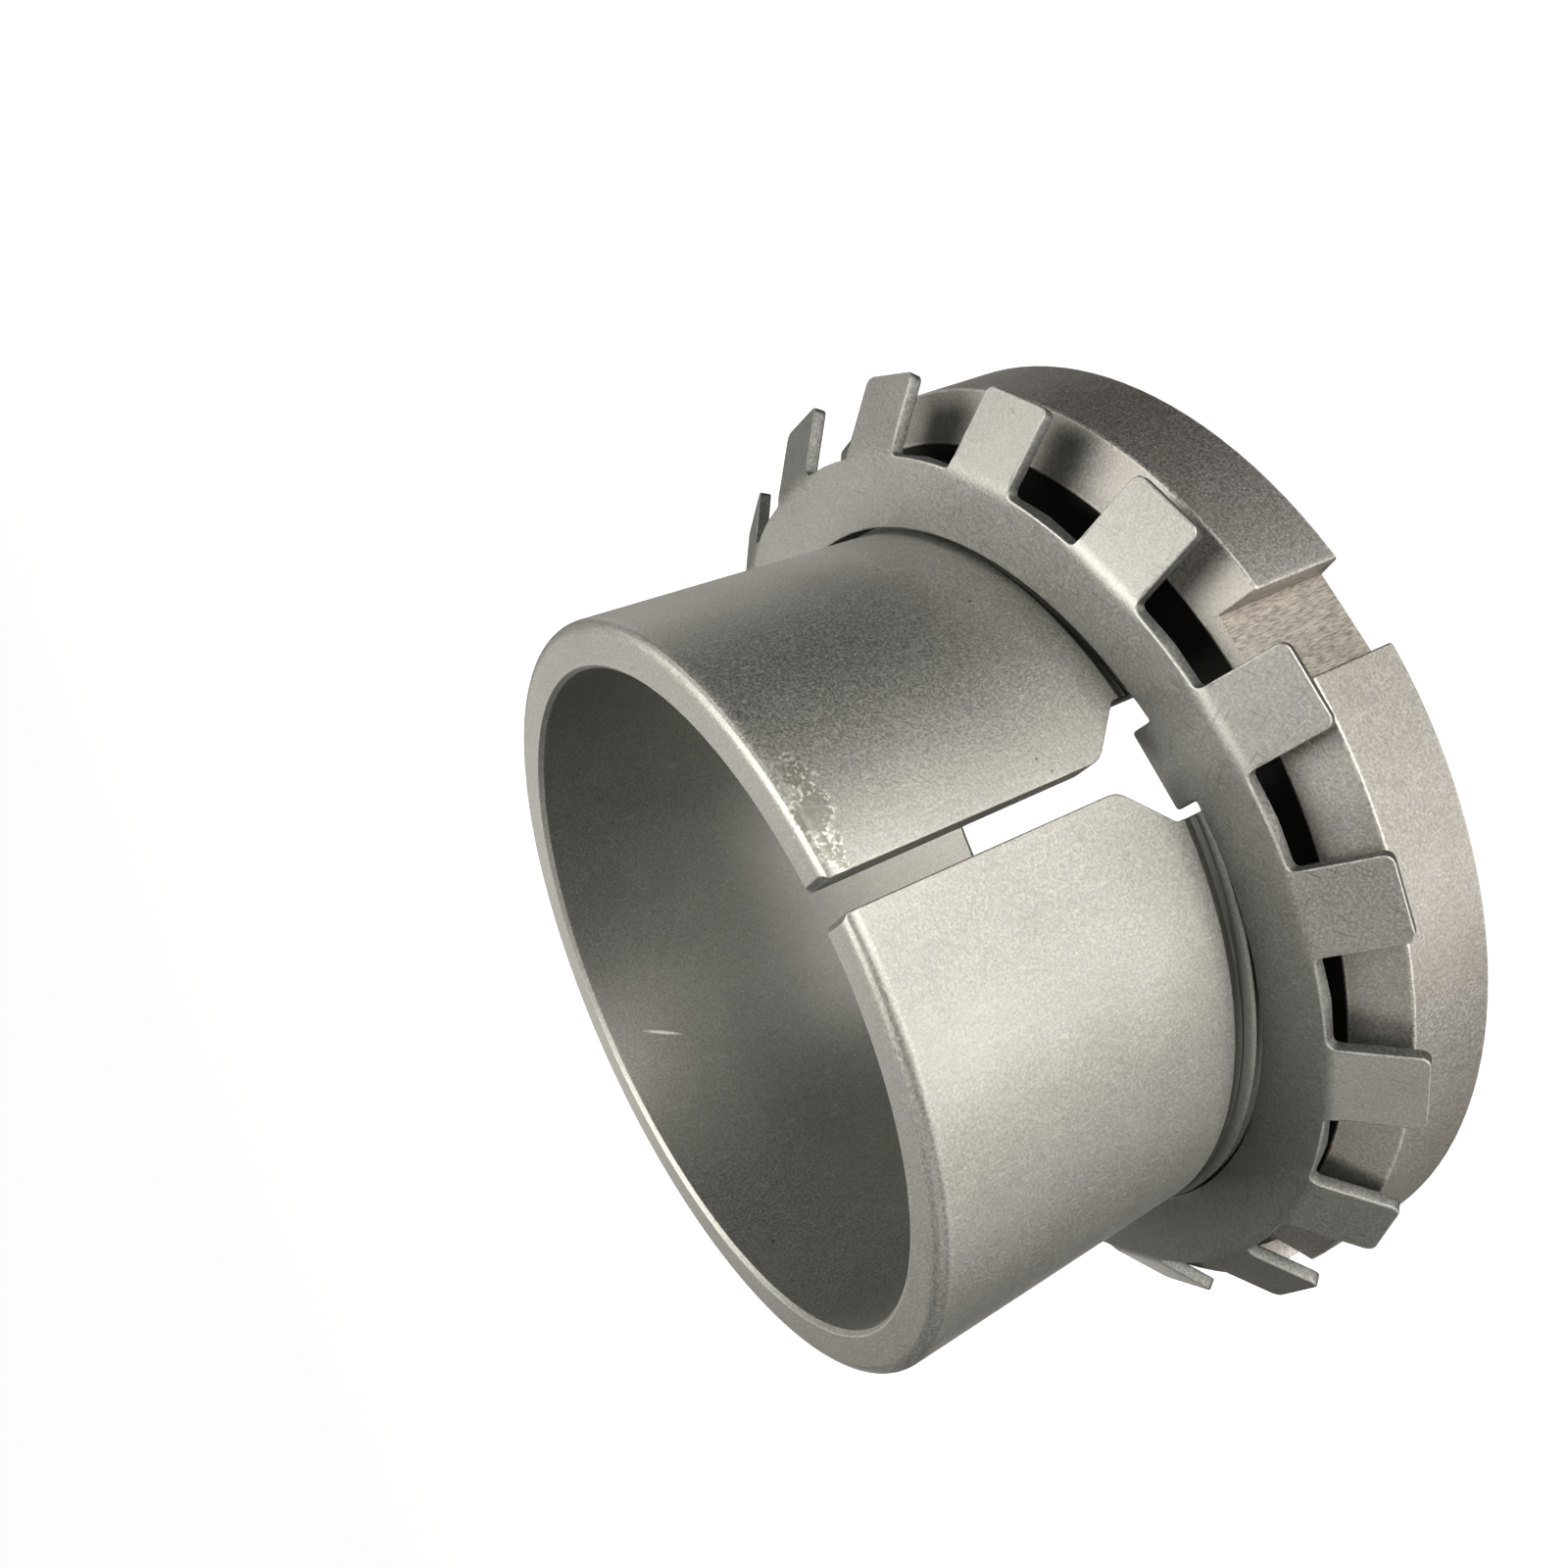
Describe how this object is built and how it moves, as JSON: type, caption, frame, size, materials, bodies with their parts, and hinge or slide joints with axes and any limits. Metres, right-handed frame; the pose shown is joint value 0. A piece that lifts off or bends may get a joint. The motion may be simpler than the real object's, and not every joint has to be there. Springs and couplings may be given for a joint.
{
  "type": "bearing adapter sleeve",
  "caption": "Split tapered adapter sleeve with lock washer and slotted lock nut, for clamping a bearing with a tapered bore on a plain shaft.",
  "frame": {"origin": "centre of the sleeve's threaded end face, on the axis of the bore", "axes": "+Z along the axis towards the thick end of the taper; the slit and the washer's tongue face -Y"},
  "size_m": [0.1371, 0.1371, 0.071],
  "materials": {
    "sleeve_steel": "matte blasted and phosphated grey steel, oiled",
    "washer_steel": "matte grey sheet steel with burnished edges",
    "nut_steel": "matte phosphated grey steel, rough slot floors"
  },
  "bodies": {
    "sleeve": {"tapered_sleeve": "sleeve_steel"},
    "washer": {"lock_washer": "washer_steel"},
    "nut": {"lock_nut": "nut_steel"}
  },
  "joints": [
    {"name": "washer_slide", "type": "slide", "parent": "sleeve", "child": "washer", "axis": [0, 0, 1], "range_m": [-0.0014, 0.003]},
    {"name": "nut_turn", "type": "hinge", "parent": "washer", "child": "nut", "pos_m": [0, 0, 0], "axis": [0, 0, 1], "range_deg": [-240, 530]}
  ],
  "couplings": [
    {"joint": "washer_slide", "follows": "nut_turn", "m_per_rad": 0.00031831}
  ]
}
